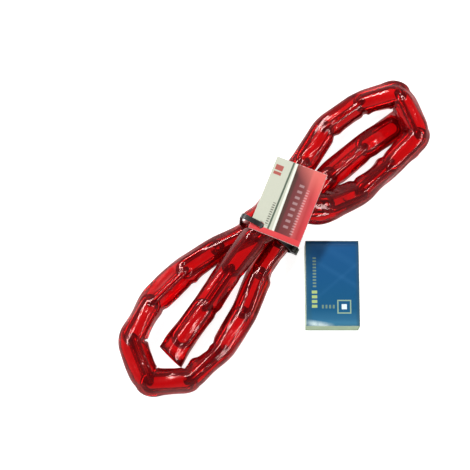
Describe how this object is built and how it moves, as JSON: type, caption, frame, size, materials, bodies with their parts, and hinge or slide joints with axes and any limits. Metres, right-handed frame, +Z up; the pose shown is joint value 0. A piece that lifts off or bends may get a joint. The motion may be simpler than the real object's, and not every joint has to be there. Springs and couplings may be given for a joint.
{
  "type": "chain lock",
  "caption": "Welded steel chain in a soft clear red sleeve, folded into a bundle and tied, with a card, and a carton holding its brass padlock and keys.",
  "frame": {"origin": "on the ground under the middle of the whole set", "axes": "+Z up; the carton stands square with X and Y, its tray opens towards -Y, and the bundle lies from lower left to upper right"},
  "size_m": [0.3014, 0.3083, 0.0584],
  "materials": {
    "sleeve": "clear red soft PVC, glossy",
    "links": "zinc plated, welded",
    "tie": "black nylon",
    "card": "printed and coated",
    "carton": "printed blue, coated",
    "tray": "uncoated board",
    "lock_body": "brushed",
    "shackle": "plated steel",
    "plug": "turned",
    "steel_pins": "turned steel",
    "springs": "spring wire",
    "keys": "nickel plated"
  },
  "bodies": {
    "bundle": {"link_02": "links", "link_03": "links", "link_04": "links", "link_05": "links", "link_06": "links", "link_07": "links", "link_08": "links", "link_09": "links", "link_10": "links", "link_11": "links", "link_12": "links", "link_13": "links", "link_14": "links", "link_15": "links", "link_16": "links", "link_17": "links", "link_18": "links", "link_19": "links", "link_20": "links", "link_21": "links", "link_22": "links", "link_23": "links", "link_24": "links", "link_25": "links", "link_26": "links", "link_27": "links", "link_28": "links", "sleeve_bend": "sleeve", "sleeve_crossing": "sleeve", "sleeve_upper_right": "sleeve", "sleeve_upper_left": "sleeve", "sleeve_left_run": "sleeve", "sleeve_lower_left": "sleeve", "sleeve_lower_right": "sleeve", "sleeve_waist_run": "sleeve", "sleeve_flat_end": "sleeve", "cable_tie": "tie"},
    "tail": {"link_01": "links", "sleeve_tail": "sleeve"},
    "card": {"header_card": "card"},
    "carton": {"carton_sleeve": "carton"},
    "tray": {"carton_tray": "tray", "lock_body": "lock_body", "shackle_spring": "springs", "driver_pins": "steel_pins", "pin_springs": "springs", "chamber_plugs": "plug", "key_1": "keys", "key_2": "keys"},
    "shackle": {"shackle": "shackle"},
    "plug": {"cylinder_plug": "plug", "lock_cam": "steel_pins", "key_pins": "plug"},
    "latch_left": {"latch_heel": "steel_pins"},
    "latch_right": {"latch_toe": "steel_pins"}
  },
  "joints": [
    {"name": "tail_lift", "type": "hinge", "parent": "bundle", "child": "tail", "pos_m": [-0.06718, -0.06629, 0.0125], "axis": [-0.8141, 0.5807, 0], "range_deg": [0, 25], "deforming": ["sleeve_bend"]},
    {"name": "card_turn", "type": "hinge", "parent": "bundle", "child": "card", "pos_m": [-0.0168, 0.0001, 0.0547], "axis": [-0.0163, -0.0404, 0.999], "range_deg": [-8, 12]},
    {"name": "carton_lift", "type": "slide", "parent": "bundle", "child": "carton", "axis": [0, 0, 1], "range_m": [0, 0.06]},
    {"name": "tray_slide", "type": "slide", "parent": "carton", "child": "tray", "axis": [0, -1, 0], "range_m": [0, 0.07]},
    {"name": "plug_turn", "type": "hinge", "parent": "tray", "child": "plug", "pos_m": [0.0511, -0.086, 0.00835], "axis": [0, 1, 0], "range_deg": [0, 90]},
    {"name": "shackle_rise", "type": "slide", "parent": "tray", "child": "shackle", "axis": [0, 1, 0], "range_m": [0, 0.009]},
    {"name": "latch_left_slide", "type": "slide", "parent": "tray", "child": "latch_left", "axis": [1, 0, 0], "range_m": [0, 0.00181]},
    {"name": "latch_right_slide", "type": "slide", "parent": "tray", "child": "latch_right", "axis": [-1, 0, 0], "range_m": [0, 0.00181]}
  ],
  "couplings": [
    {"joint": "plug_turn", "follows": "shackle_rise", "rad_per_m": 174.5},
    {"joint": "latch_left_slide", "follows": "shackle_rise", "ratio": 0.2},
    {"joint": "latch_right_slide", "follows": "shackle_rise", "ratio": 0.2}
  ]
}
